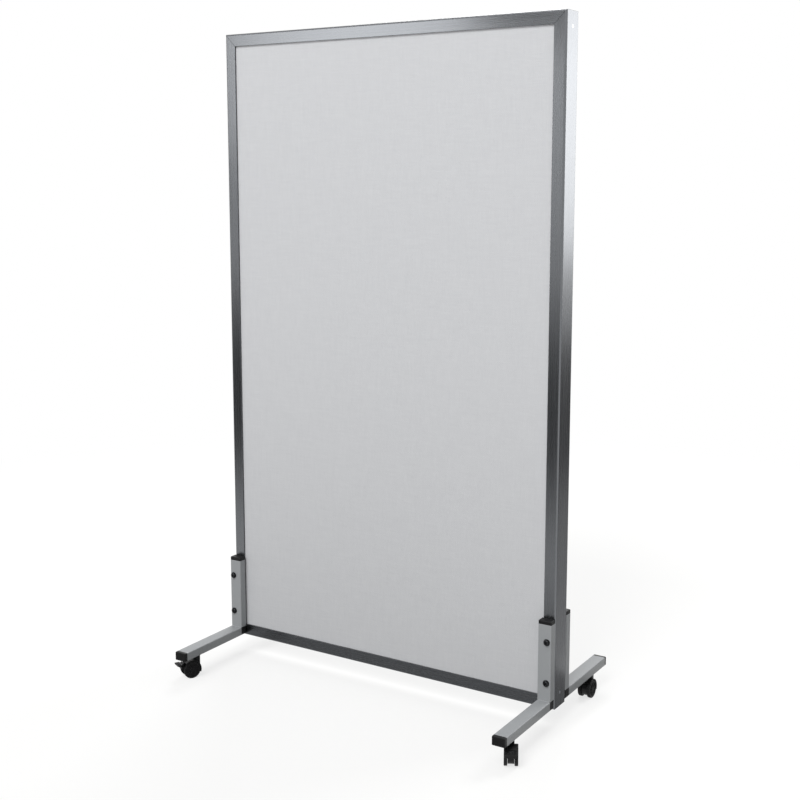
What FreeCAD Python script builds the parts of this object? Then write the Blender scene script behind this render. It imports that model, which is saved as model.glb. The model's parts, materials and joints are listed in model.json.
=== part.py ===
import FreeCAD, Part
import math
import os
from FreeCAD import Vector

# Free-standing acoustic partition on castors, in millimetres.
# The origin is on the floor, under the middle of the panel.
# +X runs along the panel to the right as seen from the front, -Y is the front, +Z is up.

# Panel
panel_width = 1075.0
panel_height = 1800.0
panel_thickness = 70.0
frame_drop = 6.0            # underside of the frame below the underside of the leg arms

# Frame extrusion: a hollow chamber with two lips that hold the infill
frame_wall = 2.0
frame_chamber = 21.0
frame_lip = 9.0
frame_edge_radius = 5.0

# Infill, from each face inwards
gasket_thickness = 3.0
fabric_thickness = 1.0
board_thickness = 9.0
infill_edge_clearance = 1.0
gasket_edge_clearance = 3.0

# Corner keys and their countersunk screws
key_leg = 55.0
key_thickness = 8.0
key_width = 40.0
key_screw_setback = 38.0
key_screw_diameter = 5.0
key_screw_head_diameter = 9.0
key_screw_socket = 3.0
key_screw_socket_depth = 1.5

# Leg tubes
tube_width = 38.0
tube_depth = 25.0
tube_wall = 1.6
tube_edge_radius = 3.0
upright_length = 209.0
leg_reach = 280.0           # panel face to the tip of the toe cap

# Tube end caps
cap_head = 10.0
cap_plug = 14.0
cap_edge_radius = 2.5
cap_rim_share = 0.9         # the rim stays rounder than the corners it runs round
cap_plug_clearance = 0.2

# Moulded corners that join each arm to its upright
corner_arm_plug = 55.0
corner_upright_plug = 70.0  # far enough up for the lower bolt to pass through it

# Bolts that clamp the front and rear uprights to the stile
bolt_diameter = 8.0
bolt_head_diameter = 15.0
bolt_head_height = 5.0
bolt_socket = 5.0
bolt_socket_depth = 2.5
bolt_end = 3.0              # thread that shows past the nut
bolt_clearance = 0.2
lower_bolt_height = 50.0    # above the top of the arms
bolt_spacing = 112.0
washer_diameter = 18.0
washer_thickness = 1.6
nut_across_flats = 13.0
nut_height = 6.5
sleeve_diameter = 14.0

# Castors
wheel_diameter = 50.0
wheel_width = 9.0
tyre_thickness = 3.0
tyre_edge_radius = 1.5
tyre_seat_gap = 0.02
rim_thickness = 2.2
wheel_disc_thickness = 2.5
wheel_dish = 1.5            # rim's outer face to the disc
wheel_boss_diameter = 13.0
wheel_side_gap = 0.6
axle_diameter = 6.0
axle_seat_gap = 0.02
axle_cover = 2.0            # wheel material over the end of the axle
axle_end_gap = 0.3
castor_rise = 41.0          # axle to the underside of the arm
castor_trail = 20.0         # axle to the swivel axis
castor_setback = 70.0       # swivel axis to the tip of the toe cap
front_castor_splay = 27.0   # degrees outwards from straight ahead, as photographed
housing_width = 17.0
housing_core_inset = 5.0    # tread to the core between the wheels
housing_block = 18.0        # length of the block round the stem
housing_block_radius = 4.0
housing_block_floor = 4.0
hood_gap = 1.2
hood_wall = 2.5
hood_edge_radius = 1.2
hood_start = 50.0           # degrees up from the trailing side
hood_end = 200.0
stem_diameter = 10.0
stem_engagement = 36.0
stem_end_gap = 1.0
stem_collar_diameter = 16.0
stem_collar_height = 4.0
swivel_gap = 0.3
running_clearance = 0.05
stud_length = 20.0
insert_diameter = 14.0
insert_clearance = 0.05

# Brake lever of the front castors
lever_pivot_angle = 38.0    # degrees up from the trailing side
lever_pivot_gap = 5.6       # tyre to the pivot
lever_pin_diameter = 3.0
lever_eye_radius = 4.0
lever_lug_width = 8.0
lever_cheek = 4.0
lever_cheek_gap = 0.3
lever_pad_gap = 3.0
lever_pad_thickness = 4.0
lever_pad_height = 7.0
lever_pad_drop = 5.0        # pivot down to the top of the pad
lever_pad_width = 30.0
pedal_gap = 0.8             # lug to the pedal
pedal_length = 14.0
pedal_thickness = 4.0
pedal_width = 28.0

# Places worked out from the sizes above
wheel_radius = wheel_diameter / 2
arm_bottom = wheel_radius + castor_rise
arm_top = arm_bottom + tube_depth
upright_top = arm_top + upright_length
frame_bottom = arm_bottom - frame_drop
frame_top = frame_bottom + panel_height
half_width = panel_width / 2
half_thickness = panel_thickness / 2
frame_web = 2 * frame_wall + frame_chamber
frame_face = frame_web + frame_lip
chamber_half = half_thickness - frame_wall
leg_centre = half_width - tube_width / 2
bolt_x = half_width - frame_wall - frame_chamber / 2
bolt_heights = (arm_top + lower_bolt_height, arm_top + lower_bolt_height + bolt_spacing)
fabric_face = chamber_half - gasket_thickness
board_face = fabric_face - fabric_thickness
core_face = board_face - board_thickness
upright_face = half_thickness + tube_depth
swivel_y = half_thickness + leg_reach - castor_setback
housing_top = arm_bottom - stem_collar_height - swivel_gap
wheel_inner = housing_width / 2 + wheel_side_gap
wheel_outer = wheel_inner + wheel_width
hood_inner_radius = wheel_radius + hood_gap
hood_outer_radius = hood_inner_radius + hood_wall
core_radius = wheel_radius - housing_core_inset
pivot_radius = wheel_radius + lever_pivot_gap
pivot_x = castor_trail + pivot_radius * math.cos(math.radians(lever_pivot_angle))
pivot_z = wheel_radius + pivot_radius * math.sin(math.radians(lever_pivot_angle))
cheek_inner = lever_lug_width / 2 + lever_cheek_gap
cheek_outer = cheek_inner + lever_cheek
pedal_start = pivot_x + lever_eye_radius + pedal_gap

x_axis = Vector(1, 0, 0)
y_axis = Vector(0, 1, 0)
z_axis = Vector(0, 0, 1)
centre = Vector(0, 0, 0)
tolerance = 1e-6


# Basic shapes
def block(x_range, y_range, z_range):
    low = Vector(min(x_range), min(y_range), min(z_range))
    high = Vector(max(x_range), max(y_range), max(z_range))
    size = high - low
    return Part.makeBox(size.x, size.y, size.z, low)


def rod(radius, start, end):
    return Part.makeCylinder(radius, (end - start).Length, start, end - start)


def hexagon(across_flats, start, end):
    radius = across_flats / math.sqrt(3)
    corners = [Vector(radius, 0, 0)]
    for turn in range(1, 7):
        angle = math.radians(60 * turn)
        corners.append(Vector(radius * math.cos(angle), radius * math.sin(angle), 0))
    prism = Part.Face(Part.makePolygon(corners)).extrude(Vector(0, 0, (end - start).Length))
    prism.Placement = FreeCAD.Placement(start, FreeCAD.Rotation(z_axis, end - start))
    return prism


def rounded_bar(width, depth, radius, length):
    bar = Part.makeBox(width, depth, length, Vector(-width / 2, -depth / 2, 0))
    upright_edges = [edge for edge in bar.Edges if abs(edge.tangentAt(edge.FirstParameter).z) > 0.5]
    return bar.makeFillet(radius, upright_edges)


def fused(shapes):
    return shapes[0].fuse(shapes[1:]).removeSplitter()


def inner_corner(outer_radius, wall):
    # Radius inside a bent wall, kept above nothing where the wall is as thick as the bend.
    return max(outer_radius - wall, wall / 4)


def placed_at_corner(shape, side, face):
    # Shapes are drawn for the front right corner and mirrored to the others.
    if side == "left":
        shape = shape.mirror(centre, x_axis)
    if face == "rear":
        shape = shape.mirror(centre, y_axis)
    return shape


# Frame
def frame_bar(length):
    # Across the extrusion, X runs in from the outer edge and Y runs through the thickness.
    along = (0, length)
    inside = (-chamber_half, chamber_half)
    bar = rounded_bar(2 * frame_face, panel_thickness, frame_edge_radius, length)
    bar.translate(Vector(frame_face, 0, 0))
    chamber_radius = inner_corner(frame_edge_radius, frame_wall)
    chamber = rounded_bar(2 * frame_chamber, 2 * chamber_half, chamber_radius, length)
    chamber.translate(Vector(frame_wall + frame_chamber, 0, 0))
    chamber = chamber.common(block((frame_wall, frame_web - frame_wall), inside, along))
    channel = block((frame_web, 2 * frame_face), inside, along)
    far_side = block((frame_face, 2 * frame_face), (-half_thickness, half_thickness), along)
    return bar.cut([chamber, channel, far_side])


def frame_member(length):
    # Stands on its outer edge's lower corner, mitred at both ends.
    bar = frame_bar(length)
    reach = 2 * frame_face
    lower = Part.makePolygon([Vector(0, 0, 0), Vector(reach, 0, 0), Vector(reach, 0, reach), Vector(0, 0, 0)])
    lower_waste = Part.Face(lower).extrude(Vector(0, 2 * panel_thickness, 0))
    lower_waste.translate(Vector(0, -panel_thickness, 0))
    upper_waste = lower_waste.mirror(Vector(0, 0, length / 2), z_axis)
    return bar.cut([lower_waste, upper_waste])


def leg_bolt_holes():
    radius = bolt_diameter / 2 + bolt_clearance
    reach = upright_face + tube_depth
    return [rod(radius, Vector(bolt_x, -reach, z), Vector(bolt_x, reach, z)) for z in bolt_heights]


def key_screw(clearance):
    # Points along -X from the head's face at X = 0. The clearance also makes the hole for it.
    head = key_screw_head_diameter / 2 + clearance
    shank = key_screw_diameter / 2 + clearance
    cone = Part.makeCone(head, shank, frame_wall, centre, -x_axis)
    body = rod(shank, Vector(-frame_wall, 0, 0), Vector(-frame_wall - key_thickness, 0, 0))
    return cone.fuse(body)


def key_screw_places(shape):
    # Eight places: each end of both stiles, then each end of both rails.
    places = []
    for side in (1, -1):
        turn = 0 if side > 0 else 180
        for z in (frame_bottom + key_screw_setback, frame_top - key_screw_setback):
            copy = shape.copy()
            copy.rotate(centre, z_axis, turn)
            copy.translate(Vector(side * half_width, 0, z))
            places.append(copy)
    for z, tilt in ((frame_top, -90), (frame_bottom, 90)):
        for side in (1, -1):
            copy = shape.copy()
            copy.rotate(centre, y_axis, tilt)
            copy.translate(Vector(side * (half_width - key_screw_setback), 0, z))
            places.append(copy)
    return places


def make_frame():
    screw_holes = key_screw_places(key_screw(insert_clearance))
    right = frame_member(panel_height)
    right.rotate(centre, z_axis, 180)
    right.translate(Vector(half_width, 0, frame_bottom))
    right = right.cut(leg_bolt_holes())
    left = right.mirror(centre, x_axis)
    lower = frame_member(panel_width)
    lower.rotate(centre, y_axis, 90)
    lower = lower.mirror(centre, z_axis)
    lower.translate(Vector(-half_width, 0, frame_bottom))
    middle = Vector(0, 0, (frame_bottom + frame_top) / 2)
    upper = lower.mirror(middle, z_axis)
    members = {"left_stile": left, "right_stile": right, "top_rail": upper, "bottom_rail": lower}
    return {name: member.cut(screw_holes) for name, member in members.items()}


def make_corner_keys():
    # Each key lies on the inside of the frame's outer walls.
    screw_holes = key_screw_places(key_screw(insert_clearance))
    outer = half_width - frame_wall
    bottom = frame_bottom + frame_wall
    depth = (-key_width / 2, key_width / 2)
    up_leg = block((outer - key_thickness, outer), depth, (bottom, bottom + key_leg))
    side_leg = block((outer - key_leg, outer), depth, (bottom, bottom + key_thickness))
    lower_right = fused([up_leg, side_leg])
    middle = Vector(0, 0, (frame_bottom + frame_top) / 2)
    upper_right = lower_right.mirror(middle, z_axis)
    keys = {
        "corner_key_bottom_right": lower_right,
        "corner_key_bottom_left": lower_right.mirror(centre, x_axis),
        "corner_key_top_right": upper_right,
        "corner_key_top_left": upper_right.mirror(centre, x_axis),
    }
    return {name: key.cut(screw_holes) for name, key in keys.items()}


def make_corner_screws():
    socket = hexagon(key_screw_socket, Vector(-key_screw_socket_depth, 0, 0), centre)
    return Part.makeCompound(key_screw_places(key_screw(0).cut(socket)))


def make_bolt_sleeves():
    sleeves = []
    for x in (bolt_x, -bolt_x):
        for z in bolt_heights:
            ends = Vector(x, -chamber_half, z), Vector(x, chamber_half, z)
            bore = rod(bolt_diameter / 2 + bolt_clearance, *ends)
            sleeves.append(rod(sleeve_diameter / 2, *ends).cut(bore))
    return Part.makeCompound(sleeves)


# Infill
def infill_slab(inner, outer, edge):
    # A slab between two distances from the panel's middle plane, on the front side.
    half = half_width - edge
    return block((-half, half), (-inner, -outer), (frame_bottom + edge, frame_top - edge))


def make_infill():
    edge = frame_web + infill_edge_clearance
    fabric = infill_slab(board_face, fabric_face, edge)
    board = infill_slab(core_face, board_face, edge)
    ring = infill_slab(fabric_face, chamber_half, frame_web + gasket_edge_clearance)
    gasket = ring.cut(infill_slab(fabric_face, chamber_half, frame_face))
    pieces = {"acoustic_core": infill_slab(-core_face, core_face, edge)}
    for name, shape in (("fabric", fabric), ("board", board), ("gasket", gasket)):
        pieces["front_" + name] = shape
        pieces["rear_" + name] = shape.mirror(centre, y_axis)
    return pieces


# Legs
def leg_tube(length):
    inner_radius = inner_corner(tube_edge_radius, tube_wall)
    outer = rounded_bar(tube_width, tube_depth, tube_edge_radius, length)
    inner = rounded_bar(tube_width - 2 * tube_wall, tube_depth - 2 * tube_wall, inner_radius, length)
    return outer.cut(inner)


def tube_plug(length):
    inset = 2 * (tube_wall + cap_plug_clearance)
    plug_radius = inner_corner(tube_edge_radius, tube_wall)
    return rounded_bar(tube_width - inset, tube_depth - inset, plug_radius, length)


def end_cap():
    # Head above the tube's end at Z = 0, plug below it.
    head = rounded_bar(tube_width, tube_depth, tube_edge_radius, cap_head)
    rim = [edge for edge in head.Edges if edge.BoundBox.ZMin > cap_head - tolerance]
    head = head.makeFillet(min(cap_edge_radius, cap_rim_share * tube_edge_radius), rim)
    plug = tube_plug(cap_plug)
    plug.translate(Vector(0, 0, -cap_plug))
    return head.fuse(plug)


def pointing_forward(shape):
    # Lays a shape drawn along +Z down along -Y at the height of the arms.
    shape.rotate(centre, x_axis, 90)
    shape.translate(Vector(leg_centre, 0, arm_bottom + tube_depth / 2))
    return shape


def arm():
    tube = leg_tube(leg_reach - tube_depth - cap_head)
    tube.translate(Vector(0, 0, upright_face))
    tube = pointing_forward(tube)
    socket_radius = insert_diameter / 2 + insert_clearance
    socket_top = arm_bottom + tube_depth / 2
    socket = rod(socket_radius, Vector(leg_centre, -swivel_y, arm_bottom - tube_wall),
                 Vector(leg_centre, -swivel_y, socket_top))
    return tube.cut(socket)


def upright():
    tube = leg_tube(upright_length)
    tube.translate(Vector(leg_centre, -half_thickness - tube_depth / 2, arm_top))
    return tube.cut(leg_bolt_holes())


def upright_cap():
    cap = end_cap()
    cap.translate(Vector(leg_centre, -half_thickness - tube_depth / 2, upright_top))
    return cap


def toe_cap():
    cap = end_cap()
    cap.translate(Vector(0, 0, half_thickness + leg_reach - cap_head))
    return pointing_forward(cap)


def heel_corner():
    # A block where the arm's outline and the upright's outline cross, with a plug into each tube.
    upright_place = Vector(leg_centre, -half_thickness - tube_depth / 2, arm_bottom)
    along_arm = rounded_bar(tube_width, tube_depth, tube_edge_radius, upright_face)
    along_upright = rounded_bar(tube_width, tube_depth, tube_edge_radius, tube_depth)
    along_upright.translate(upright_place)
    corner_block = pointing_forward(along_arm).common(along_upright)
    arm_plug = tube_plug(tube_depth / 2 + corner_arm_plug)
    arm_plug.translate(Vector(0, 0, upright_face - tube_depth / 2))
    upright_plug = tube_plug(tube_depth / 2 + corner_upright_plug)
    upright_plug.translate(upright_place + Vector(0, 0, tube_depth / 2))
    return fused([corner_block, pointing_forward(arm_plug), upright_plug]).cut(leg_bolt_holes())


def castor_insert():
    bottom = Vector(leg_centre, -swivel_y, arm_bottom)
    top = Vector(leg_centre, -swivel_y, arm_top - tube_wall)
    bush = rod(insert_diameter / 2, bottom, top)
    return bush.cut(rod(stem_diameter / 2 + insert_clearance, bottom, top))


def leg_bolt(x, z):
    seat = -upright_face - washer_thickness
    tip = upright_face + washer_thickness + nut_height + bolt_end
    shank = rod(bolt_diameter / 2, Vector(x, seat, z), Vector(x, tip, z))
    head = rod(bolt_head_diameter / 2, Vector(x, seat, z), Vector(x, seat - bolt_head_height, z))
    rim = [edge for edge in head.Edges if edge.BoundBox.YMax < seat - bolt_head_height / 2]
    head = head.makeFillet(bolt_head_height / 2, rim)
    socket_end = seat - bolt_head_height
    socket = hexagon(bolt_socket, Vector(x, socket_end + bolt_socket_depth, z), Vector(x, socket_end, z))
    return fused([shank, head]).cut(socket)


def washer(x, z, face):
    start = Vector(x, face * upright_face, z)
    end = Vector(x, face * (upright_face + washer_thickness), z)
    bore = rod(bolt_diameter / 2 + bolt_clearance, start, end)
    return rod(washer_diameter / 2, start, end).cut(bore)


def leg_nut(x, z):
    start = Vector(x, upright_face + washer_thickness, z)
    end = Vector(x, upright_face + washer_thickness + nut_height, z)
    bore = rod(bolt_diameter / 2 + insert_clearance, start, end)
    return hexagon(nut_across_flats, start, end).cut(bore)


def make_leg_fasteners():
    places = [(x, z) for x in (bolt_x, -bolt_x) for z in bolt_heights]
    return {
        "leg_bolts": Part.makeCompound([leg_bolt(x, z) for x, z in places]),
        "leg_washers": Part.makeCompound([washer(x, z, face) for x, z in places for face in (-1, 1)]),
        "leg_nuts": Part.makeCompound([leg_nut(x, z) for x, z in places]),
    }


# Castor, drawn with its swivel axis on Z and its axle trailing along +X
def sector(radius, width, start, end):
    # Part of a disc about the axle, between two angles measured up from the trailing side.
    disc = Part.makeCylinder(radius, width, centre, z_axis, end - start)
    disc.rotate(centre, z_axis, start)
    disc.rotate(centre, x_axis, 90)
    disc.translate(Vector(castor_trail, width / 2, wheel_radius))
    return disc


def across(radius, x, z, half):
    return rod(radius, Vector(x, -half, z), Vector(x, half, z))


def castor_hood():
    shell = sector(hood_outer_radius, 2 * wheel_outer, hood_start, hood_end)
    shell = shell.cut(across(hood_inner_radius, castor_trail, wheel_radius, wheel_outer))
    arcs = [edge for edge in shell.Edges if edge.Curve.TypeId == "Part::GeomCircle"]
    rims = [edge for edge in arcs if abs(edge.Curve.Radius - hood_outer_radius) < tolerance]
    return shell.makeFillet(hood_edge_radius, rims)


def castor_housing(braked):
    core = across(core_radius, castor_trail, wheel_radius, housing_width / 2)
    web = sector(hood_outer_radius, housing_width, hood_start, hood_end)
    shell = castor_hood()
    stem_bottom = housing_top - stem_engagement - stem_end_gap
    block_bottom = stem_bottom - housing_block_floor
    stem_block = rounded_bar(housing_block, housing_width, housing_block_radius, housing_top - block_bottom)
    stem_block.translate(Vector(0, 0, block_bottom))
    parts = [core, web, shell, stem_block]
    if braked:
        parts.append(lever_lug())
    body = fused(parts)
    bore_radius = stem_diameter / 2 + running_clearance
    stem_bore = rod(bore_radius, Vector(0, 0, stem_bottom), Vector(0, 0, housing_top))
    axle_bore = across(axle_diameter / 2 + axle_seat_gap, castor_trail, wheel_radius, wheel_outer)
    body = body.cut([stem_bore, axle_bore])
    if braked:
        body = body.cut(across(lever_pin_diameter / 2 + running_clearance, pivot_x, pivot_z, cheek_outer))
    return body


def lever_lug():
    half = lever_lug_width / 2
    arm_bar = block((0, pivot_radius), (-half, half), (-lever_eye_radius, lever_eye_radius))
    arm_bar.rotate(centre, y_axis, -lever_pivot_angle)
    arm_bar.translate(Vector(castor_trail, 0, wheel_radius))
    return arm_bar.fuse(across(lever_eye_radius, pivot_x, pivot_z, half))


def brake_lever():
    pad_inner = castor_trail + wheel_radius + lever_pad_gap
    pad_outer = pad_inner + lever_pad_thickness
    pad_top = pivot_z - lever_pad_drop
    pad_bottom = pad_top - lever_pad_height
    half_pedal = pedal_thickness / 2
    parts = [
        across(lever_pin_diameter / 2, pivot_x, pivot_z, cheek_outer),
        block((pad_inner, pad_outer), (-lever_pad_width / 2, lever_pad_width / 2), (pad_bottom, pad_top)),
        block((pedal_start, pedal_start + pedal_length), (-pedal_width / 2, pedal_width / 2),
              (pivot_z - half_pedal, pivot_z + half_pedal)),
    ]
    for side in (-1, 1):
        inner = side * cheek_inner
        outer = side * cheek_outer
        parts.append(rod(lever_eye_radius, Vector(pivot_x, inner, pivot_z), Vector(pivot_x, outer, pivot_z)))
        parts.append(block((pivot_x, pad_outer), (inner, outer), (pad_bottom, pivot_z + half_pedal)))
        parts.append(block((pivot_x, pedal_start + pedal_length / 2), (inner, outer),
                           (pivot_z - half_pedal, pivot_z + half_pedal)))
    return fused(parts)


def castor_axle():
    half = wheel_outer - axle_cover - axle_end_gap
    return across(axle_diameter / 2, castor_trail, wheel_radius, half)


def ring(outer_radius, inner_radius, start, end):
    # A ring about the axle between two places along Y.
    ends = Vector(castor_trail, start, wheel_radius), Vector(castor_trail, end, wheel_radius)
    return rod(outer_radius, *ends).cut(rod(inner_radius, *ends))


def wheel(side):
    rim_radius = wheel_radius - tyre_thickness - tyre_seat_gap
    bore = axle_diameter / 2 + running_clearance
    inner = side * wheel_inner
    outer = side * wheel_outer
    disc_outer = side * (wheel_outer - wheel_dish)
    disc_inner = side * (wheel_outer - wheel_dish - wheel_disc_thickness)
    cover = side * (wheel_outer - axle_cover)
    rim = ring(rim_radius, rim_radius - rim_thickness, inner, outer)
    boss = ring(wheel_boss_diameter / 2, bore, inner, outer)
    disc = ring(rim_radius, bore, disc_inner, disc_outer)
    lid = rod(wheel_boss_diameter / 2, Vector(castor_trail, cover, wheel_radius),
              Vector(castor_trail, outer, wheel_radius))
    return fused([rim, boss, disc, lid])


def tyre(side):
    tread = ring(wheel_radius, wheel_radius - tyre_thickness, side * wheel_inner, side * wheel_outer)
    edges = [edge for edge in tread.Edges if edge.Curve.TypeId == "Part::GeomCircle"]
    rims = [edge for edge in edges if abs(edge.Curve.Radius - wheel_radius) < tolerance]
    return tread.makeFillet(tyre_edge_radius, rims)


def castor_stem():
    pin_bottom = housing_top - stem_engagement
    collar_bottom = arm_bottom - stem_collar_height
    pin = rod(stem_diameter / 2, Vector(0, 0, pin_bottom), Vector(0, 0, arm_bottom + stud_length))
    collar = rod(stem_collar_diameter / 2, Vector(0, 0, collar_bottom), Vector(0, 0, arm_bottom))
    return fused([pin, collar])


def castor_turn(side, face):
    # Direction in which the castor trails, in degrees from +X. All of them trail forwards.
    splay = front_castor_splay if face == "front" else 0.0
    return -90.0 + splay if side == "right" else -90.0 - splay


def at_castor(shape, side, face):
    shape.rotate(centre, z_axis, castor_turn(side, face))
    x = leg_centre if side == "right" else -leg_centre
    y = -swivel_y if face == "front" else swivel_y
    shape.translate(Vector(x, y, 0))
    return shape


def make_castor(side, face):
    braked = face == "front"
    pieces = {"castor_housing": castor_housing(braked), "castor_axle": castor_axle()}
    for letter, half in (("a", 1), ("b", -1)):
        pieces["wheel_" + letter] = wheel(half)
        pieces["tyre_" + letter] = tyre(half)
    if braked:
        pieces["brake_lever"] = brake_lever()
    return {name: at_castor(shape, side, face) for name, shape in pieces.items()}


def make_legs():
    corners = [(side, face) for face in ("front", "rear") for side in ("left", "right")]
    nodes = {}
    for side, face in corners:
        corner = face + "_" + side + "_"
        nodes[corner + "arm"] = placed_at_corner(arm(), side, face)
        nodes[corner + "upright"] = placed_at_corner(upright(), side, face)
        for name, shape in make_castor(side, face).items():
            nodes[corner + name] = shape
    groups = {"upright_caps": upright_cap, "toe_caps": toe_cap, "heel_corners": heel_corner,
              "castor_inserts": castor_insert}
    for name, make in groups.items():
        nodes[name] = Part.makeCompound([placed_at_corner(make(), *corner) for corner in corners])
    nodes["castor_stems"] = Part.makeCompound([at_castor(castor_stem(), *corner) for corner in corners])
    return nodes


def make_partition():
    nodes = make_frame()
    nodes.update(make_corner_keys())
    nodes["corner_screws"] = make_corner_screws()
    nodes["bolt_sleeves"] = make_bolt_sleeves()
    nodes.update(make_infill())
    nodes.update(make_leg_fasteners())
    nodes.update(make_legs())
    return nodes


os.makedirs("parts", exist_ok=True)
for node_name, node_shape in make_partition().items():
    node_shape.exportStep("parts/" + node_name + ".step")
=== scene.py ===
# %% [markdown]
# # A mobile acoustic partition
# The solids of the partition come in as a fixed frame: four mitred frame members, two fabric faces,
# four L-shaped legs and four twin-wheel castors. This lesson gives each of them the surface of the
# real thing, and adds what solids can't show: the stretched cloth, the fine ribs of the wheels and
# the grip of the brake pedals.

# %% Load the frame
import json
import math

import bpy
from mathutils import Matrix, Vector


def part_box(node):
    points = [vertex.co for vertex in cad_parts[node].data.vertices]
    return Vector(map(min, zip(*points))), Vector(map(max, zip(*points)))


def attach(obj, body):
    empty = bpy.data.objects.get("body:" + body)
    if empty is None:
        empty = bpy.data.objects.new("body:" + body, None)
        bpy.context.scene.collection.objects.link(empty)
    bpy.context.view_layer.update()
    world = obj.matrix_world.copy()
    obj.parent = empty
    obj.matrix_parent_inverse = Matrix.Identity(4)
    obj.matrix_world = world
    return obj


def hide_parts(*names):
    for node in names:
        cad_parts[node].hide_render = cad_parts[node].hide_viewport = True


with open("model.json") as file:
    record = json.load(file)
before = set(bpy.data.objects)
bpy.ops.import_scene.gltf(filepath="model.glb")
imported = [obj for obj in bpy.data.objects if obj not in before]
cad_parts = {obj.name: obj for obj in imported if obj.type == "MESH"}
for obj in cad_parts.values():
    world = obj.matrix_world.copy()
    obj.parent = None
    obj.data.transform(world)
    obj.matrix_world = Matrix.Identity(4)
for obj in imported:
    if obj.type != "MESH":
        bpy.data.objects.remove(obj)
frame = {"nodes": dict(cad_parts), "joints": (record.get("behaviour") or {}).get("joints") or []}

scene = bpy.context.scene
solids = frame["nodes"]
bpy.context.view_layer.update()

# %% [markdown]
# ## Three helpers
# Colours are written as the sRGB hex values that an eye reads off a screen, while a shader counts in
# linear light, so one function turns the first into the second. Node trees get long when every node
# takes four lines. So one function feeds the inputs of a node, each with a value, with a socket, or
# with the first output of another node, and one adds a node with its settings and feeds it.

# %% Colour and node helpers
def linear(hex_colour):
    parts = [int(hex_colour[i:i + 2], 16) / 255 for i in (1, 3, 5)]
    return (*[c / 12.92 if c <= 0.04045 else ((c + 0.055) / 1.055) ** 2.4 for c in parts], 1.0)


def feed(node, inputs):
    for place, value in inputs.items():
        if isinstance(value, bpy.types.Node):
            value = value.outputs[0]
        if isinstance(value, bpy.types.NodeSocket):
            node.id_data.links.new(value, node.inputs[place])
        else:
            node.inputs[place].default_value = value


def add(tree, kind, inputs=(), **settings):
    node = tree.nodes.new(kind)
    for name, value in settings.items():
        setattr(node, name, value)
    feed(node, dict(inputs))
    return node


print("mid grey in linear light:", [round(c, 3) for c in linear("#808080")])

# %% [markdown]
# ## The camera
# The photograph was taken from the right, a little below the eye height of someone standing, so the
# top of the panel is above the lens. Lens, place and turn were found by fitting the corners of the
# panel and the ends of the legs to where they lie in the picture. A little lens shift keeps the
# uprights nearly upright, as in the photograph. More would match it better, but it would push the
# part out of the frame in other views.

# %% Camera
EYE = (1.8603, -2.9086, 1.4572)
LOOK_DOWN = 8.368
TURN_LEFT = 32.105
camera = bpy.data.objects.new("camera", bpy.data.cameras.new("camera"))
scene.collection.objects.link(camera)
camera.data.sensor_width = 36
camera.data.lens = 56.32
camera.data.shift_y = -0.05
camera.location = EYE
camera.rotation_euler = (math.radians(90 - LOOK_DOWN), 0, math.radians(TURN_LEFT))
scene.camera = camera
print("camera lens", round(camera.data.lens, 2), "mm, eye", EYE[2], "m above the floor")

# %% [markdown]
# ## Floor and backdrop
# The object stands on white. A real studio has a white paper sweep. Here a wide floor fades into a
# white world, so no horizon shows. Near the object the floor is matt white paper that keeps the soft
# shadow of the legs, and further out it turns into the plain white of the world. White paper throws
# much light up from below, which would make the sides of the feet as pale as their tops. The
# photograph's feet have dark sides, so the floor sends back less light than the eye sees on it.

# %% What the camera sees
scene.view_settings.view_transform = "Standard"
WHITE = linear("#FFFFFF")


def seen_directly(tree):
    # 1 for what the camera sees, itself or in metal and glass, and 0 for light that falls on matt things
    ray = add(tree, "ShaderNodeLightPath")
    seen = add(tree, "ShaderNodeMath", {0: ray.outputs["Is Camera Ray"], 1: ray.outputs["Is Glossy Ray"]},
               operation="MAXIMUM")
    return add(tree, "ShaderNodeMath", {0: seen, 1: ray.outputs["Is Transmission Ray"]},
               operation="MAXIMUM")


def emptied_tree(owner):
    owner.use_nodes = True
    owner.node_tree.nodes.clear()
    return owner.node_tree


print("view transform:", scene.view_settings.view_transform)

# %% Floor paper
SHADOW_REACH = 1.2
WHITE_FROM = 3.5
SHADOW_LIFT = 0.7
# a Mix node has sockets for each kind of value: these take two colours and give the mixed one
COLOUR_A, COLOUR_B, MIXED = 6, 7, 2
paper = bpy.data.materials.new("white_paper_floor")
tree = emptied_tree(paper)
seen = seen_directly(tree)
place = add(tree, "ShaderNodeTexCoord").outputs["Object"]
far = add(tree, "ShaderNodeVectorMath", {0: place}, operation="LENGTH").outputs["Value"]
fade = add(tree, "ShaderNodeMapRange", {"Value": far, "From Min": SHADOW_REACH, "From Max": WHITE_FROM},
           interpolation_type="SMOOTHSTEP")
lift = add(tree, "ShaderNodeMath", {0: seen, 1: SHADOW_LIFT}, operation="MULTIPLY")
white = add(tree, "ShaderNodeMath", {0: fade, 1: lift}, operation="MAXIMUM")
tone = add(tree, "ShaderNodeMix", {"Factor": seen, COLOUR_A: linear("#8C8C8A"),
                                   COLOUR_B: linear("#F6F6F4")}, data_type="RGBA").outputs[MIXED]
matt = add(tree, "ShaderNodeBsdfDiffuse", {"Color": tone})
glow = add(tree, "ShaderNodeEmission", {"Color": WHITE, "Strength": 1.0})
both = add(tree, "ShaderNodeMixShader", {0: white, 1: matt, 2: glow})
add(tree, "ShaderNodeOutputMaterial", {"Surface": both})
print("floor paper: shadows to", SHADOW_REACH, "m, plain white from", WHITE_FROM, "m")

# %% Floor and world
FLOOR_REACH = 30.0
WORLD_LIGHT = 0.38


def staged_board(name, corners, material):
    mesh = bpy.data.meshes.new(name)
    mesh.from_pydata(corners, [], [(0, 1, 2, 3)])
    mesh.materials.append(material)
    board = bpy.data.objects.new(name, mesh)
    scene.collection.objects.link(board)
    return board


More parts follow.
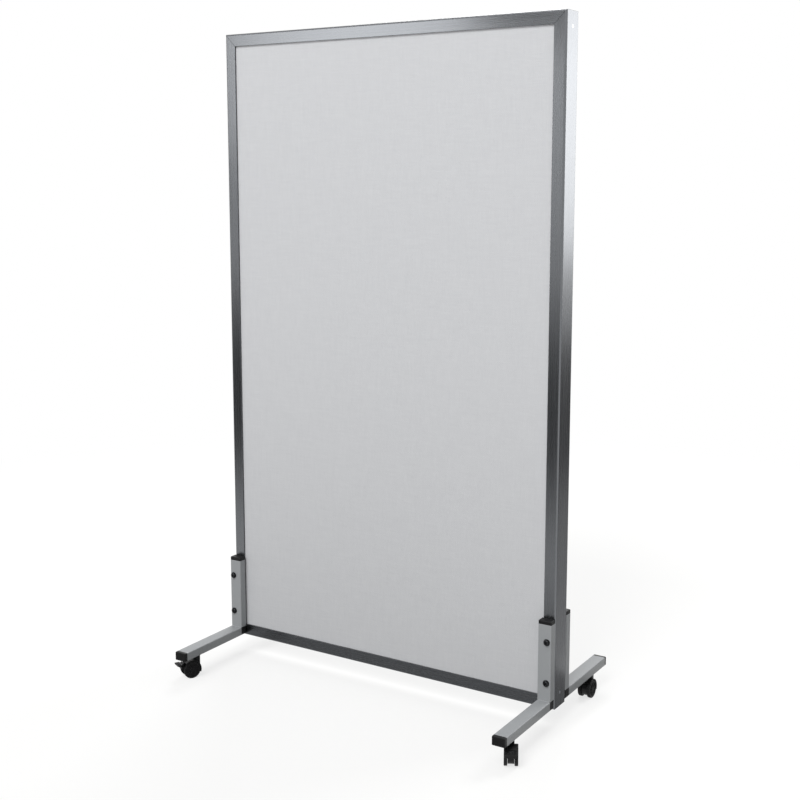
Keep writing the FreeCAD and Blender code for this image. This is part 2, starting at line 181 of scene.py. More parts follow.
staged_board("floor", [(x * FLOOR_REACH, y * FLOOR_REACH, 0)
                       for x, y in ((-1, -1), (1, -1), (1, 1), (-1, 1))], paper)
world = bpy.data.worlds.new("white_room")
scene.world = world
tree = emptied_tree(world)
strength = add(tree, "ShaderNodeMapRange", {"Value": seen_directly(tree), "To Min": WORLD_LIGHT,
                                            "To Max": 1.0})
light = add(tree, "ShaderNodeBackground", {"Color": WHITE, "Strength": strength})
add(tree, "ShaderNodeOutputWorld", {"Surface": light})
print("floor", 2 * FLOOR_REACH, "m wide, world light", WORLD_LIGHT)

# %% [markdown]
# ## Lamps
# The key is a large soft box, high and far off in front. It lights the cloth evenly, only a little
# less towards the floor, and leaves the sides of the feet darker than their tops. Two more behind
# keep the rear face from going dark. Metal shows what it mirrors, so two small ones are set where the
# top rail and the right edge mirror them, which makes both gleam. Each has a grid, as a photographer
# would clip on, that narrows its beam, so that the rest of the frame stays clear of them. The one
# for the rail works in reflections alone, because it would leave a spot on the cloth.

# %% Soft boxes
def soft_box(name, place, aim, width, height, watts, beam=180):
    lamp = bpy.data.objects.new(name, bpy.data.lights.new(name, "AREA"))
    scene.collection.objects.link(lamp)
    lamp.data.shape = "RECTANGLE"
    lamp.data.size = width
    lamp.data.size_y = height
    lamp.data.energy = watts
    lamp.data.spread = math.radians(beam)
    lamp.location = place
    lamp.visible_camera = False
    toward = [a - p for a, p in zip(aim, place)]
    flat_reach = math.hypot(toward[0], toward[1])
    lamp.rotation_euler = (math.atan2(flat_reach, -toward[2]), 0, math.atan2(-toward[0], toward[1]))
    return lamp


PANEL_MIDDLE = (0, 0, 0.9)
GRID_BEAM = 30
soft_box("key", (0.6, -16.0, 16.3), PANEL_MIDDLE, 10.4, 10.4, 3720)
rail_gleam = soft_box("rail_gleam", (-2.1, -3.1, 2.2), (-0.08, 0, 1.84), 1.5, 1.2, 0.62, GRID_BEAM)
rail_gleam.visible_diffuse = False
soft_box("edge_gleam", (1.9, 2.8, 1.85), (0.54, 0, 1.65), 0.9, 1.6, 0.6, GRID_BEAM)
for name, side in (("back_left", -1), ("back_right", 1)):
    soft_box(name, (side * 2.6, 5.5, 6.5), PANEL_MIDDLE, 3.0, 3.0, 220)

# %% [markdown]
# ## Flags
# Bare metal only looks like metal when it has something dark to mirror, so a photographer sets dark
# boards, called flags, round the set. The stiles mirror two that stand low, the right end of the top
# rail and the upper part of the left stile two that hang in front, and the right edge and the bottom
# rail three that lie on the floor. Painting the dark bands on the metal would be simpler, but they
# would stay in place when the view moves, as no reflection does. Only reflections see the flags.

# %% Flags
FLAG_LIFT = 0.002


def flag(name, tone, corners):
    felt = bpy.data.materials.new(name + "_felt")
    felt.use_nodes = True
    feed(felt.node_tree.nodes["Principled BSDF"], {"Base Color": linear(tone), "Roughness": 0.9})
    board = staged_board(name, corners, felt)
    board.visible_camera = board.visible_diffuse = board.visible_shadow = False


def standing(start, end, low, high):
    return [(*start, low), (*end, low), (*end, high), (*start, high)]


def lying(near, far):
    return [(x, y, FLAG_LIFT) for x, y in (near, (far[0], near[1]), far, (near[0], far[1]))]


flag("flag_front", "#1B1B1C", standing((-3.6, -1.4), (0.6, -2.4), 0, 0.85))
flag("flag_side", "#464647", standing((2.2, 0.6), (1.4, 3.4), 0, 0.72))
flag("flag_rail", "#1B1B1C", standing((-0.28, -1), (0.08, -1), 1.92, 2.3))
flag("flag_left", "#5A5A5A", standing((-1.7, -1), (-1.34, -1), 1.3, 2.2))
flag("flag_floor", "#A0A0A0", lying((0.7, 0.35), (2.2, 3.4)))
flag("flag_heel", "#767676", lying((0.545, 0.03), (1.0, 0.35)))
flag("flag_sill", "#A0A0A0", lying((-0.8, -0.9), (0.5, -0.05)))

# %% [markdown]
# ## Finishes: where each one goes
# Every solid came in with the name of a finish. A finish is built once, from what the real material
# is and how its surface was made, and then handed to all the solids that carry its name. Its patterns
# are placed by the solid's own coordinates in metres, so a scale is one over a real size.

# %% Finish helpers
slot_of = {name: solid.data.materials[0].name.split(".")[0] for name, solid in solids.items()}


def new_finish(name, colour, roughness, others=()):
    material = bpy.data.materials.new(name)
    material.use_nodes = True
    tree = material.node_tree
    shader = tree.nodes["Principled BSDF"]
    feed(shader, {"Base Color": linear(colour), "Roughness": roughness, **dict(others)})
    return material, tree, shader, add(tree, "ShaderNodeTexCoord").outputs["Object"]


def dress(slot, material, only=tuple(solids)):
    dressed = [name for name in only if slot_of[name] == slot]
    for name in dressed:
        solids[name].data.materials.clear()
        solids[name].data.materials.append(material)
    print(material.name, "on", len(dressed), "solids")


print("finishes:", sorted(set(slot_of.values())))

# %% [markdown]
# ## Anodised aluminium
# The frame is extruded aluminium with a satin anodised skin. Extrusion leaves fine lines along each
# member, and anodising turns the mirror into a soft silver grey, so a highlight is drawn out across
# the lines. Noise that is stretched along the member gives such lines without a picture. They run up
# the stiles and along the rails, which is what shows the mitre at each corner, together with a
# hairline where the two cuts meet. Real lines are about 0.3 mm apart. They are drawn about 1.5 mm
# apart, because finer ones don't show at this distance.

# %% Mitre hairline
MITRE_LINE = 0.0004
stile_low, stile_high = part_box("left_stile")


def mitre_hairline(tree, place):
    # 0 on the hairline and 1 on open metal: the cut is as far from the side as from the top or bottom
    axes = add(tree, "ShaderNodeSeparateXYZ", {0: place}).outputs
    side = add(tree, "ShaderNodeMath", {0: axes["X"]}, operation="ABSOLUTE")
    from_side = add(tree, "ShaderNodeMath", {0: -stile_low.x, 1: side}, operation="SUBTRACT")
    from_top = add(tree, "ShaderNodeMath", {0: stile_high.z, 1: axes["Z"]}, operation="SUBTRACT")
    from_bottom = add(tree, "ShaderNodeMath", {0: axes["Z"], 1: stile_low.z}, operation="SUBTRACT")
    from_end = add(tree, "ShaderNodeMath", {0: from_top, 1: from_bottom}, operation="MINIMUM")
    apart = add(tree, "ShaderNodeMath", {0: from_side, 1: from_end}, operation="SUBTRACT")
    apart = add(tree, "ShaderNodeMath", {0: apart}, operation="ABSOLUTE")
    return add(tree, "ShaderNodeMapRange", {"Value": apart, "From Min": MITRE_LINE,
                                            "From Max": 2 * MITRE_LINE})


print("mitres meet at x", round(stile_low.x, 4), "z", round(stile_low.z, 4), "and", round(stile_high.z, 4))

# %% Frame finish
DIE_LINE = 0.0015
DIE_LINE_LENGTH = 0.40
DIE_LINE_DEPTH = 0.0003
CLOUD = 1 / 3


def anodised(name, along):
    material, tree, shader, place = new_finish(name, "#727477", 0.27, {"Metallic": 1.0})
    spacing = [1 / DIE_LINE] * 3
    spacing[along] = 1 / DIE_LINE_LENGTH
    drawn = add(tree, "ShaderNodeMapping", {"Vector": place, "Scale": spacing})
    lines = add(tree, "ShaderNodeTexNoise", {"Vector": drawn, "Scale": 1.0, "Detail": 2.0})
    tone = add(tree, "ShaderNodeMix", {"Factor": lines, COLOUR_A: linear("#6B6D70"),
                                       COLOUR_B: linear("#7A7C7F")}, data_type="RGBA").outputs[MIXED]
    cloud = add(tree, "ShaderNodeTexNoise", {"Vector": place, "Scale": 1 / CLOUD, "Detail": 2.0})
    shade = add(tree, "ShaderNodeMapRange", {"Value": cloud, "To Min": 0.9, "To Max": 1.1})
    tone = add(tree, "ShaderNodeVectorMath", {0: tone, "Scale": shade}, operation="SCALE")
    tone = add(tree, "ShaderNodeMix", {"Factor": mitre_hairline(tree, place), COLOUR_A: linear("#2A2B2D"),
                                       COLOUR_B: tone}, data_type="RGBA").outputs[MIXED]
    gloss = add(tree, "ShaderNodeMapRange", {"Value": lines, "To Min": 0.22, "To Max": 0.32})
    relief = add(tree, "ShaderNodeBump", {"Height": lines, "Strength": 0.12, "Distance": DIE_LINE_DEPTH})
    feed(shader, {"Base Color": tone, "Roughness": gloss, "Normal": relief})
    return material


X_AXIS, Z_AXIS = 0, 2
dress("frame_aluminium", anodised("anodised_aluminium_uprights", Z_AXIS), ("left_stile", "right_stile"))
dress("frame_aluminium", anodised("anodised_aluminium_rails", X_AXIS), ("top_rail", "bottom_rail"))

# %% [markdown]
# ## Powder-coated steel
# The legs are steel tube with a silver-grey powder coat. Baked powder flows out to a skin with a
# faint orange peel, a few millimetres from crest to crest, and thins on the edges, which look a
# little paler. Fine metal flakes in the powder make the tone sparkle slightly. One noise at the size
# of the peel moves gloss and bump together. Edges could be marked by hand on every tube, but a Bevel
# node finds them: near an edge, its rounded normal leans away from the normal of the face.

# %% Leg finish
PEEL = 0.004
PEEL_DEPTH = 0.0004
FLAKE = 0.0012
THIN_COAT = 0.0035


def edges(tree, reach, open_face, sharp_edge):
    # the rounded normal, and a share that rises from 0 on open faces to 1 on edges
    face = add(tree, "ShaderNodeNewGeometry").outputs["Normal"]
    rounded = add(tree, "ShaderNodeBevel", {"Radius": reach}, samples=4)
    alike = add(tree, "ShaderNodeVectorMath", {0: face, 1: rounded}, operation="DOT_PRODUCT")
    return rounded, add(tree, "ShaderNodeMapRange", {"Value": alike.outputs["Value"],
                                                     "From Min": open_face, "From Max": sharp_edge})


leg_paint, tree, shader, place = new_finish("powder_coated_steel", "#989A9C", 0.42,
                                            {"IOR": 1.5, "Specular IOR Level": 0.3})
peel = add(tree, "ShaderNodeTexNoise", {"Vector": place, "Scale": 1 / PEEL, "Detail": 1.0})
flake = add(tree, "ShaderNodeTexNoise", {"Vector": place, "Scale": 1 / FLAKE, "Detail": 0.0})
_, edge = edges(tree, THIN_COAT, open_face=0.99, sharp_edge=0.85)
tone = add(tree, "ShaderNodeMix", {"Factor": flake, COLOUR_A: linear("#909395"),
                                   COLOUR_B: linear("#A0A2A4")}, data_type="RGBA").outputs[MIXED]
tone = add(tree, "ShaderNodeMix", {"Factor": edge, COLOUR_A: tone, COLOUR_B: linear("#AEB0B2")},
           data_type="RGBA").outputs[MIXED]
gloss = add(tree, "ShaderNodeMapRange", {"Value": peel, "To Min": 0.32, "To Max": 0.44})
relief = add(tree, "ShaderNodeBump", {"Height": peel, "Strength": 0.15, "Distance": PEEL_DEPTH})
feed(shader, {"Base Color": tone, "Roughness": gloss, "Normal": relief})
dress("leg_paint", leg_paint)

# %% [markdown]
# ## Moulded black plastics
# The end caps are polyethylene, the castor housings and wheels nylon. All come out of spark-eroded
# moulds, whose fine pits leave a silky grain. The grain is drawn about 0.8 mm wide, some three times
# the real size, so that it shows. Edges that hands and feet rub are a shade paler, in patches, so
# the share of the edge is multiplied by a coarser noise.

# %% Black plastics
GRAIN = 0.0008
GRAIN_DEPTH = 0.0002
SCUFF = 1 / 90
SCUFF_SWING = 0.08
RUBBED_EDGE = 0.0012
DULL_PLASTIC = {"IOR": 1.52, "Specular IOR Level": 0.25}


def moulded(name, colour, worn, roughness):
    material, tree, shader, place = new_finish(name, colour, roughness, DULL_PLASTIC)
    grain = add(tree, "ShaderNodeTexNoise", {"Vector": place, "Scale": 1 / GRAIN, "Detail": 1.0})
    scuff = add(tree, "ShaderNodeTexNoise", {"Vector": place, "Scale": 1 / SCUFF, "Detail": 4.0})
    rounded, edge = edges(tree, RUBBED_EDGE, open_face=0.98, sharp_edge=0.7)
    rub = add(tree, "ShaderNodeMath", {0: edge, 1: scuff}, operation="MULTIPLY")
    tone = add(tree, "ShaderNodeMix", {"Factor": rub, COLOUR_A: linear(colour), COLOUR_B: linear(worn)},
               data_type="RGBA").outputs[MIXED]
    gloss = add(tree, "ShaderNodeMapRange", {"Value": scuff, "To Min": roughness - SCUFF_SWING,
                                             "To Max": roughness + SCUFF_SWING})
    relief = add(tree, "ShaderNodeBump", {"Height": grain, "Strength": 0.25, "Distance": GRAIN_DEPTH,
                                          "Normal": rounded})
    feed(shader, {"Base Color": tone, "Roughness": gloss, "Normal": relief})
    return material


cap_black = moulded("moulded_polyethylene_black", "#0C0C0D", "#2C2D2E", 0.48)
castor_black = moulded("moulded_nylon_black", "#0B0B0C", "#2A2B2C", 0.38)
wheel_black = moulded("moulded_nylon_wheel", "#0D0D0E", "#2E2F30", 0.42)
dress("cap_plastic", cap_black)
dress("castor_plastic", castor_black)
dress("wheel_plastic", wheel_black)

# %% [markdown]
# ## Rubber
# The tyres are soft grey-black rubber, dull and slightly dusty where they roll. The strip that beds
# the cloth against the frame is extruded rubber with the same dull skin. A cloudy noise, of which
# only the upper part shows, gives the patches of dust.

# %% Tyre and gasket finish
DUST = 0.006
DUST_DEPTH = 0.0003


def rubber(name, colour, dusty, roughness):
    material, tree, shader, place = new_finish(name, colour, roughness, DULL_PLASTIC)
    dust = add(tree, "ShaderNodeTexNoise", {"Vector": place, "Scale": 1 / DUST, "Detail": 5.0,
                                            "Roughness": 0.7})
    spread = add(tree, "ShaderNodeMapRange", {"Value": dust, "From Min": 0.42, "From Max": 0.75})
    tone = add(tree, "ShaderNodeMix", {"Factor": spread, COLOUR_A: linear(colour), COLOUR_B: linear(dusty)},
               data_type="RGBA").outputs[MIXED]
    relief = add(tree, "ShaderNodeBump", {"Height": dust, "Strength": 0.2, "Distance": DUST_DEPTH})
    feed(shader, {"Base Color": tone, "Normal": relief})
    return material


dress("tyre_rubber", rubber("moulded_rubber_tyre", "#131314", "#2B2B2B", 0.72))
dress("gasket_rubber", rubber("extruded_rubber_strip", "#4A4B4D", "#5A5B5C", 0.8))

# %% [markdown]
# ## Plated and blackened steel
# Bolts and washers are blackened steel, oiled and rather glossy. Stems and corner screws are zinc
# plated: pale, slightly blue, with the cloudy spangle of a plating bath. The keys in the corners are
# cast aluminium, duller and just as cloudy. A soft noise shifts tone and gloss together, and a Bevel
# node rounds the edges in the shading, which saves faces on such small things.

# %% Steel finishes
SPANGLE = 0.003
SPANGLE_SWING = 0.07
TUMBLED_EDGE = 0.0004


def plated(name, dark, pale, roughness):
    material, tree, shader, place = new_finish(name, dark, roughness, {"Metallic": 1.0})
    spangle = add(tree, "ShaderNodeTexNoise", {"Vector": place, "Scale": 1 / SPANGLE, "Detail": 3.0})
    rounded = add(tree, "ShaderNodeBevel", {"Radius": TUMBLED_EDGE}, samples=4)
    tone = add(tree, "ShaderNodeMix", {"Factor": spangle, COLOUR_A: linear(dark), COLOUR_B: linear(pale)},
               data_type="RGBA").outputs[MIXED]
    gloss = add(tree, "ShaderNodeMapRange", {"Value": spangle, "To Min": roughness - SPANGLE_SWING,
                                             "To Max": roughness + SPANGLE_SWING})
    feed(shader, {"Base Color": tone, "Roughness": gloss, "Normal": rounded})
    return material


dress("black_steel", plated("blackened_steel", "#2A2B2C", "#3C3D3F", 0.34))
dress("zinc_steel", plated("zinc_plated_steel", "#A9AEB4", "#C6CACD", 0.3))
dress("key_aluminium", plated("cast_aluminium", "#9A9B9C", "#B4B5B6", 0.5))

# %% [markdown]
# ## Inside the panel
# Behind the cloth are fibreboard faces and an absorbent slab of mineral wool. They only show if the
# panel is taken apart, so they get a plain fibre pattern: chips a few millimetres long in the board,
# finer tangled fibres in the slab. Noise that is distorted by itself looks tangled.

# %% Board and slab finish
FIBRE_DEPTH = 0.0005


def fibrous(name, dark, pale, fibre, roughness):
    material, tree, shader, place = new_finish(name, dark, roughness)
    strands = add(tree, "ShaderNodeTexNoise", {"Vector": place, "Scale": 1 / fibre, "Detail": 4.0,
                                               "Distortion": 1.5})
    tone = add(tree, "ShaderNodeMix", {"Factor": strands, COLOUR_A: linear(dark), COLOUR_B: linear(pale)},
               data_type="RGBA").outputs[MIXED]
    relief = add(tree, "ShaderNodeBump", {"Height": strands, "Strength": 0.3, "Distance": FIBRE_DEPTH})
    feed(shader, {"Base Color": tone, "Normal": relief})
    return material


dress("facing_board", fibrous("fibreboard", "#8E7450", "#B39A74", 0.004, 0.8))
dress("acoustic_felt", fibrous("mineral_wool", "#A79F86", "#C9C2AC", 0.002, 0.95))

# %% [markdown]
# ## Woven cloth
# The faces are plain-woven polyester in a pale cool grey. In a plain weave each thread passes over one
# neighbour and under the next. Threads are never quite alike, so the cloth has a faint melange of
# lighter and darker ones. Threads could be modelled, but a face has more than a million crossings, so
# sums on the coordinates draw them. Real threads lie about 1.2 mm apart. They are drawn 3 mm apart,
# because finer ones would blur away here. Fuzz on the fibres catches light at grazing angles, which
# is sheen.

# %% Cloth finish: threads
THREAD = 0.003
SLUB = 0.06
LANE_STEP = 3.7
cloth, tree, shader, place = new_finish("woven_polyester", "#CACCCF", 0.9, {
    "Sheen Weight": 0.15, "Sheen Roughness": 0.5, "Specular IOR Level": 0.25})
axes = add(tree, "ShaderNodeSeparateXYZ", {0: place}).outputs
number, crown, tint = {}, {}, {}
for thread, axis, other, seed in (("warp", "X", "Z", 7.0), ("weft", "Z", "X", 31.0)):
    count = add(tree, "ShaderNodeMath", {0: axes[axis], 1: THREAD}, operation="DIVIDE")
    number[thread] = add(tree, "ShaderNodeMath", {0: count}, operation="FLOOR")
    turn = add(tree, "ShaderNodeMath", {0: count, 1: math.pi}, operation="MULTIPLY")
    wave = add(tree, "ShaderNodeMath", {0: turn}, operation="SINE")
    crown[thread] = add(tree, "ShaderNodeMath", {0: wave}, operation="ABSOLUTE")
    lane = add(tree, "ShaderNodeMath", {0: number[thread], 1: LANE_STEP}, operation="MULTIPLY")
    along = add(tree, "ShaderNodeMath", {0: axes[other], 1: SLUB}, operation="DIVIDE")
    spot = add(tree, "ShaderNodeCombineXYZ", {0: lane, 1: along, 2: seed})
    tint[thread] = add(tree, "ShaderNodeTexNoise", {"Vector": spot, "Scale": 1.0, "Detail": 1.0})
print("cloth threads", THREAD * 1000, "mm apart, slubs", SLUB * 1000, "mm long")

# %% Cloth finish: over and under
THREAD_DEPTH = 0.0006
# the sockets of a Mix node that take two plain numbers
NUMBER_A, NUMBER_B = 2, 3
both = add(tree, "ShaderNodeMath", {0: number["warp"], 1: number["weft"]}, operation="ADD")
over = add(tree, "ShaderNodeMath", {0: both, 1: 2.0}, operation="FLOORED_MODULO")
height = add(tree, "ShaderNodeMix", {"Factor": over, NUMBER_A: crown["warp"], NUMBER_B: crown["weft"]})
shown = add(tree, "ShaderNodeMix", {"Factor": over, NUMBER_A: tint["warp"], NUMBER_B: tint["weft"]})
tone = add(tree, "ShaderNodeMix", {"Factor": shown, COLOUR_A: linear("#C3C4C7"),
                                   COLOUR_B: linear("#D1D2D4")}, data_type="RGBA").outputs[MIXED]
# painted shade: the tone darkens towards the valleys between the threads, where shade falls
valley_shade = add(tree, "ShaderNodeMapRange", {"Value": height, "From Max": 0.6, "To Min": 0.9, "To Max": 1.0})
tone = add(tree, "ShaderNodeVectorMath", {0: tone, "Scale": valley_shade}, operation="SCALE")
relief = add(tree, "ShaderNodeBump", {"Height": height, "Strength": 0.35, "Distance": THREAD_DEPTH})
feed(shader, {"Base Color": tone, "Normal": relief})
print(cloth.name, "has", len(tree.nodes), "nodes")

# %% [markdown]
# ## The stretched faces
# The cloth is pulled over its board and fixed behind the frame's lips. Stretched cloth isn't as flat
# as a board: it has faint long waves, and along the edges it scallops slightly between the points
# where it was pulled. A cloth simulation could be tried, but so slight a shape follows a plain rule,
# and a Geometry Nodes tree makes it the same way each time: a fine grid, whose points sink by the
# waves and the scallops, by a few tenths of a millimetre. It keeps inside the space of its solid.

# %% Cloth tree: inputs
def new_tree(name, **labels):
    # labels are the inputs, grouped by kind; a tree that takes geometry can be a modifier
    tree = bpy.data.node_groups.new(name, "GeometryNodeTree")
    tree.is_modifier = "Geometry" in labels
    sockets = {}
    for kind, group in labels.items():
        for label in group:
            sockets[label] = tree.interface.new_socket(label, in_out="INPUT", socket_type="NodeSocket" + kind)
    tree.interface.new_socket("Shape", in_out="OUTPUT", socket_type="NodeSocketGeometry")
    print(name, "takes", list(sockets))
    return tree, sockets, add(tree, "NodeGroupInput").outputs


CLOTH_SIZES = {"Wave depth": 0.00022, "Wave size": 0.35, "Scallop depth": 0.00016, "Scallop pitch": 0.080,
               "Scallop reach": 0.035}
cloth_tree, cloth_sockets, given = new_tree(
    "stretched_cloth", Geometry=("Start",), Float=("Width", "Length", "Outward", "Seed", *CLOTH_SIZES),
    Int=("Columns", "Rows"), Vector=("Middle",))

# %% Cloth tree: grid and waves
grid = add(cloth_tree, "GeometryNodeMeshGrid", {"Size X": given["Width"], "Size Y": given["Length"],
                                                "Vertices X": given["Columns"], "Vertices Y": given["Rows"]})
spot = add(cloth_tree, "GeometryNodeInputPosition")
flat = add(cloth_tree, "ShaderNodeSeparateXYZ", {0: spot}).outputs
drift = add(cloth_tree, "ShaderNodeCombineXYZ", {0: flat["X"], 1: flat["Y"], 2: given["Seed"]})
fineness = add(cloth_tree, "ShaderNodeMath", {0: 1.0, 1: given["Wave size"]}, operation="DIVIDE")
waves = add(cloth_tree, "ShaderNodeTexNoise", {"Vector": drift, "Scale": fineness, "Detail": 0.0})
dip = add(cloth_tree, "ShaderNodeMath", {0: waves, 1: given["Wave depth"]}, operation="MULTIPLY")
print("waves", CLOTH_SIZES["Wave depth"] * 1000, "mm deep")

# %% Cloth tree: scallops
pulls = []
for across, along, size in (("X", "Y", "Width"), ("Y", "X", "Length")):
    half = add(cloth_tree, "ShaderNodeMath", {0: given[size], 1: 0.5}, operation="MULTIPLY")
    side = add(cloth_tree, "ShaderNodeMath", {0: flat[across]}, operation="ABSOLUTE")
    past_edge = add(cloth_tree, "ShaderNodeMath", {0: side, 1: half}, operation="SUBTRACT")
    fading = add(cloth_tree, "ShaderNodeMath", {0: past_edge, 1: given["Scallop reach"]}, operation="DIVIDE")
    fading = add(cloth_tree, "ShaderNodeMath", {0: fading}, operation="EXPONENT")
    steps = add(cloth_tree, "ShaderNodeMath", {0: flat[along], 1: given["Scallop pitch"]}, operation="DIVIDE")
    turn = add(cloth_tree, "ShaderNodeMath", {0: steps, 1: 2 * math.pi}, operation="MULTIPLY")
    ripple = add(cloth_tree, "ShaderNodeMath", {0: turn}, operation="COSINE")
    ripple = add(cloth_tree, "ShaderNodeMath", {0: ripple, 1: -0.5, 2: 0.5}, operation="MULTIPLY_ADD")
    pulls.append(add(cloth_tree, "ShaderNodeMath", {0: ripple, 1: fading}, operation="MULTIPLY"))
pull = add(cloth_tree, "ShaderNodeMath", {0: pulls[0], 1: pulls[1]}, operation="ADD")
pull = add(cloth_tree, "ShaderNodeMath", {0: pull, 1: 1.0}, operation="MINIMUM")
dip = add(cloth_tree, "ShaderNodeMath", {0: pull, 1: given["Scallop depth"], 2: dip},
          operation="MULTIPLY_ADD")
print("scallops every", CLOTH_SIZES["Scallop pitch"] * 1000, "mm")

# %% Cloth tree: stand it up and dress it
def close_tree(tree, shape, material):
    whole = add(tree, "GeometryNodeRealizeInstances", {0: shape})
    add(tree, "NodeGroupOutput", {0: add(tree, "GeometryNodeSetMaterial", {0: whole, "Material": material})})
    print(tree.name, "has", len(tree.nodes), "nodes")


# the grid lies flat; its X runs the other way on the rear face, so that both faces look outwards
inward = add(cloth_tree, "ShaderNodeMath", {0: given["Outward"], 1: -1.0}, operation="MULTIPLY")
side_x = add(cloth_tree, "ShaderNodeMath", {0: flat["X"], 1: inward}, operation="MULTIPLY")
sunk_y = add(cloth_tree, "ShaderNodeMath", {0: dip, 1: inward}, operation="MULTIPLY")
stood = add(cloth_tree, "ShaderNodeCombineXYZ", {0: side_x, 1: sunk_y, 2: flat["Y"]})
stood = add(cloth_tree, "ShaderNodeVectorMath", {0: stood, 1: given["Middle"]}, operation="ADD")
moved = add(cloth_tree, "GeometryNodeSetPosition", {"Geometry": grid, "Position": stood})
close_tree(cloth_tree, add(cloth_tree, "GeometryNodeSetShadeSmooth", {0: moved}), cloth)

# %% Cloth faces
def grown(name, tree, sockets, values):
    # runs a tree as a modifier and keeps what it makes as a plain mesh
    start = bpy.data.objects.new(name + "_start", bpy.data.meshes.new(name + "_start"))
    scene.collection.objects.link(start)
    grower = start.modifiers.new("grower", "NODES")
    grower.node_group = tree
    for label, value in values.items():
        grower[sockets[label].identifier] = value
    mesh = bpy.data.meshes.new_from_object(start.evaluated_get(bpy.context.evaluated_depsgraph_get()))
    bpy.data.objects.remove(start)
    mesh.name = name
    piece = bpy.data.objects.new(name, mesh)
    scene.collection.objects.link(piece)
    print(name, len(mesh.polygons), "faces")
    return piece


CLOTH_THICKNESS = 0.0006
GRID_STEP = 0.010
for side, outward in (("front", -1.0), ("rear", 1.0)):
    low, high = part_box(side + "_fabric")
    width, length = high.x - low.x, high.z - low.z
    middle = ((low.x + high.x) / 2, low.y if outward < 0 else high.y, (low.z + high.z) / 2)
    face = grown(side + "_cloth", cloth_tree, cloth_sockets, {
        "Width": width, "Length": length, "Outward": outward, "Seed": 5.0 * outward, "Middle": middle,
        "Columns": round(width / GRID_STEP) + 1, "Rows": round(length / GRID_STEP) + 1, **CLOTH_SIZES})
    wall = face.modifiers.new("thickness", "SOLIDIFY")
    wall.thickness = CLOTH_THICKNESS
    wall.offset = -1
    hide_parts(side + "_fabric")
    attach(face, "partition")
    print(side, "cloth", round(width, 3), "by", round(length, 3), "m")

# %% [markdown]
# ## Ribs in the wheels
# The outer face of each castor wheel is dished between rim and hub, and thin ribs stiffen the dish, as
# on most moulded wheels. A moulded rib narrows towards its top, so that it leaves the mould. Ribs that
# repeat round a circle are a job for Geometry Nodes: a small group makes one tapered bar, and a tree
# sets copies of it round the axle. It runs once for each wheel, because each wheel turns by itself,
# and its ribs must turn with it.

# %% One tapered bar
BAR_SIZES = ("Length", "Width", "Height", "Top share")
bar_group, _, given = new_tree("tapered_bar", Float=BAR_SIZES)
size = add(bar_group, "ShaderNodeCombineXYZ", {0: given["Length"], 1: given["Width"], 2: given["Height"]})
block = add(bar_group, "GeometryNodeMeshCube", {"Size": size})
spot = add(bar_group, "GeometryNodeInputPosition")
axes = add(bar_group, "ShaderNodeSeparateXYZ", {0: spot}).outputs
on_top = add(bar_group, "FunctionNodeCompare", {"A": axes["Z"], "B": 0.0}, operation="GREATER_THAN")
taper = add(bar_group, "ShaderNodeCombineXYZ", {0: 1.0, 1: given["Top share"], 2: 1.0})
narrow = add(bar_group, "ShaderNodeVectorMath", {0: spot, 1: taper}, operation="MULTIPLY")
block = add(bar_group, "GeometryNodeSetPosition", {"Geometry": block, "Selection": on_top,
                                                   "Position": narrow})
lift = add(bar_group, "ShaderNodeMath", {0: given["Height"], 1: 0.5}, operation="MULTIPLY")
lift = add(bar_group, "ShaderNodeCombineXYZ", {2: lift})
block = add(bar_group, "GeometryNodeTransform", {"Geometry": block, "Translation": lift})
add(bar_group, "NodeGroupOutput", {0: block})
print("tapered bar:", len(bar_group.nodes), "nodes")

# %% Wheel rib tree: one rib
RIB_SIZES = {"Hub radius": 0.0062, "Rim radius": 0.0200, "Width": 0.0018, "Height": 0.0012, "Top share": 0.55}
RIB_COUNT = 12
ribs_tree, rib_sockets, given = new_tree("wheel_ribs", Geometry=("Start",), Float=(*RIB_SIZES, "Turn"),
                                         Int=("Count",), Vector=("Disc centre",))
reach = add(ribs_tree, "ShaderNodeMath", {0: given["Rim radius"], 1: given["Hub radius"]},
            operation="SUBTRACT")
bar = {name: given[name] for name in BAR_SIZES if name in RIB_SIZES}
rib = add(ribs_tree, "GeometryNodeGroup", {"Length": reach, **bar}, node_tree=bar_group)
middle = add(ribs_tree, "ShaderNodeMath", {0: given["Rim radius"], 1: given["Hub radius"]}, operation="ADD")
middle = add(ribs_tree, "ShaderNodeMath", {0: middle, 1: 0.5}, operation="MULTIPLY")
out_by = add(ribs_tree, "ShaderNodeCombineXYZ", {0: middle})
rib = add(ribs_tree, "GeometryNodeTransform", {"Geometry": rib, "Translation": out_by})
print("one rib:", RIB_SIZES)

# %% Wheel rib tree: ribs round the axle
row = add(ribs_tree, "GeometryNodeMeshLine", {"Count": given["Count"], "Offset": (0, 0, 0)})
step = add(ribs_tree, "ShaderNodeMath", {0: 2 * math.pi, 1: given["Count"]}, operation="DIVIDE")
index = add(ribs_tree, "GeometryNodeInputIndex")
angle = add(ribs_tree, "ShaderNodeMath", {0: index, 1: step}, operation="MULTIPLY")
round_axle = add(ribs_tree, "ShaderNodeCombineXYZ", {2: angle})
star = add(ribs_tree, "GeometryNodeInstanceOnPoints", {"Points": row, "Instance": rib,
                                                       "Rotation": round_axle})
lean = add(ribs_tree, "ShaderNodeCombineXYZ", {0: math.pi / 2, 2: given["Turn"]})
placed = add(ribs_tree, "GeometryNodeTransform", {"Geometry": star, "Rotation": lean,
                                                  "Translation": given["Disc centre"]})
close_tree(ribs_tree, placed, wheel_black)

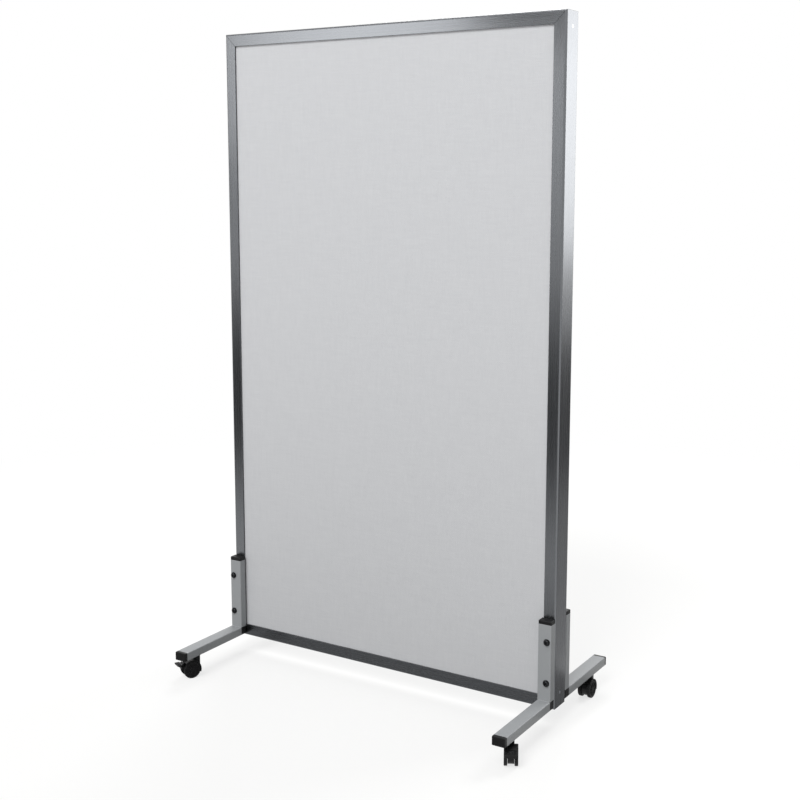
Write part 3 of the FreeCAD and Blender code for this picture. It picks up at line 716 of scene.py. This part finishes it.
# %% Ribs on the eight wheels
DISH = 0.0015
for joint in frame["joints"]:
    body = joint["child"]
    if "_wheel_" not in body:
        continue
    low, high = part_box(body)
    axle, centre = Vector(joint["axis"]), Vector(joint["pos_m"])
    out = axle if axle.dot((low + high) / 2 - centre) > 0 else -axle
    face = max(out.dot(v.co - centre) for v in solids[body].data.vertices)
    ribs = grown(body + "_ribs", ribs_tree, rib_sockets, {
        **RIB_SIZES, "Count": RIB_COUNT, "Disc centre": centre + (face - DISH) * out,
        "Turn": math.atan2(out.x, -out.y)})
    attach(ribs, body)

# %% [markdown]
# ## Grip on the brake pedals
# A foot presses the pedal of a braked castor, so its top has a few ridges that a shoe can't slip off.
# They are the same tapered bar again, now set in a row along the pedal, from its free end inwards. The
# row rides on the brake lever, which tips.

# %% Pedal grip tree
GRIP_SIZES = {"Pitch": 0.0026, "Length": 0.023, "Width": 0.0013, "Height": 0.0009, "Top share": 0.5}
GRIP_COUNT = 4
grip_tree, grip_sockets, given = new_tree("pedal_grip", Geometry=("Start",), Float=(*GRIP_SIZES, "Turn"),
                                          Int=("Count",), Vector=("First ridge",))
ridge = add(grip_tree, "GeometryNodeGroup", {name: given[name] for name in BAR_SIZES}, node_tree=bar_group)
inwards = add(grip_tree, "ShaderNodeMath", {0: given["Pitch"], 1: -1.0}, operation="MULTIPLY")
inwards = add(grip_tree, "ShaderNodeCombineXYZ", {0: inwards})
row = add(grip_tree, "GeometryNodeMeshLine", {"Count": given["Count"], "Offset": inwards})
row = add(grip_tree, "GeometryNodeInstanceOnPoints", {"Points": row, "Instance": ridge,
                                                      "Rotation": (0, 0, math.pi / 2)})
turned = add(grip_tree, "ShaderNodeCombineXYZ", {2: given["Turn"]})
placed = add(grip_tree, "GeometryNodeTransform", {"Geometry": row, "Rotation": turned,
                                                  "Translation": given["First ridge"]})
close_tree(grip_tree, placed, castor_black)

# %% Grip on the two pedals
PEDAL_RIM = 0.002
END_BAND = 0.001
for joint in frame["joints"]:
    body = joint["child"]
    if not body.endswith("_brake"):
        continue
    axle, tip = Vector(joint["axis"]), Vector(joint["pos_m"])
    out = Vector((axle.y, -axle.x, 0))
    lever = [v.co for v in solids[body + "_lever"].data.vertices]
    reach = max(out.dot(co - tip) for co in lever)
    top = max(co.z for co in lever if out.dot(co - tip) > reach - END_BAND)
    first = tip + (reach - PEDAL_RIM) * out
    grip = grown(body + "_grip", grip_tree, grip_sockets, {
        **GRIP_SIZES, "Count": GRIP_COUNT, "First ridge": (first.x, first.y, top),
        "Turn": math.atan2(out.y, out.x)})
    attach(grip, body)
